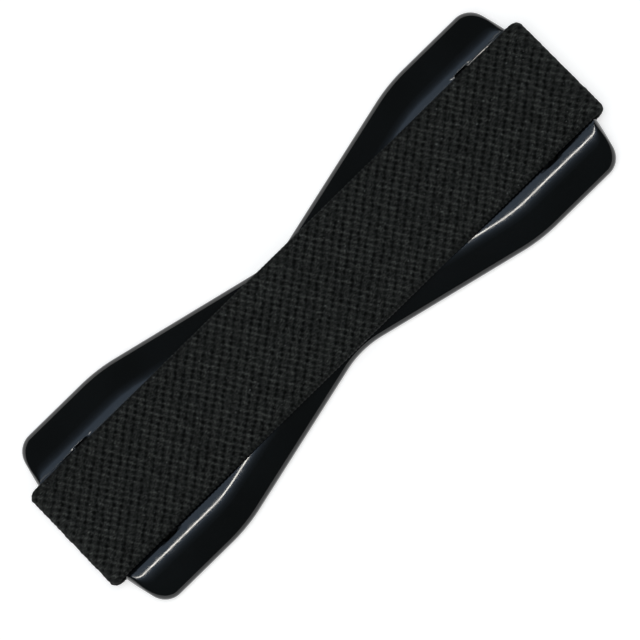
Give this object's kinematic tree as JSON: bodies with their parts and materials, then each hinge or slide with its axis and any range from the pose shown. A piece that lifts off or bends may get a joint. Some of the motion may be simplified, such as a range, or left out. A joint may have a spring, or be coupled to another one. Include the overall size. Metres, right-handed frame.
{
  "type": "phone finger strap",
  "caption": "Glossy bow-tie shaped stick-on base with a woven elastic strap folded over both ends, for holding a phone with the fingers under the strap.",
  "frame": {"origin": "middle of the foam pad's sticky face, which lies on the phone", "axes": "+X along the strap, +Y across it, +Z away from the phone"},
  "size_m": [0.1028, 0.0334, 0.0057],
  "materials": {
    "gloss_base": "high gloss black ABS",
    "inner_plastic": "plain moulded black ABS",
    "elastic": "black woven elastic, steep twill face",
    "foam_pad": "dark grey acrylic foam tape"
  },
  "bodies": {
    "base": {"base_shell": "gloss_base", "bottom_cover": "inner_plastic", "adhesive_pad": "foam_pad", "anchor_key_left": "inner_plastic", "anchor_key_right": "inner_plastic", "strap_end_left": "elastic", "strap_end_right": "elastic"},
    "grip": {"strap_grip": "elastic"},
    "run_left": {"strap_run_left": "elastic"},
    "run_right": {"strap_run_right": "elastic"}
  },
  "joints": [
    {"name": "strap_lift", "type": "slide", "parent": "base", "child": "grip", "axis": [0, 0, 1], "range_m": [0, 0.016], "stiffness_N_per_m": 250},
    {"name": "run_left_tilt", "type": "hinge", "parent": "base", "child": "run_left", "pos_m": [-0.04603, 0, 0.0057], "axis": [0, -1, 0], "range_deg": [0, 30]},
    {"name": "run_right_tilt", "type": "hinge", "parent": "base", "child": "run_right", "pos_m": [0.04603, 0, 0.0057], "axis": [0, 1, 0], "range_deg": [0, 30]}
  ],
  "couplings": [
    {"joint": "run_left_tilt", "follows": "strap_lift", "rad_per_m": 31.715},
    {"joint": "run_right_tilt", "follows": "strap_lift", "rad_per_m": 31.715}
  ]
}
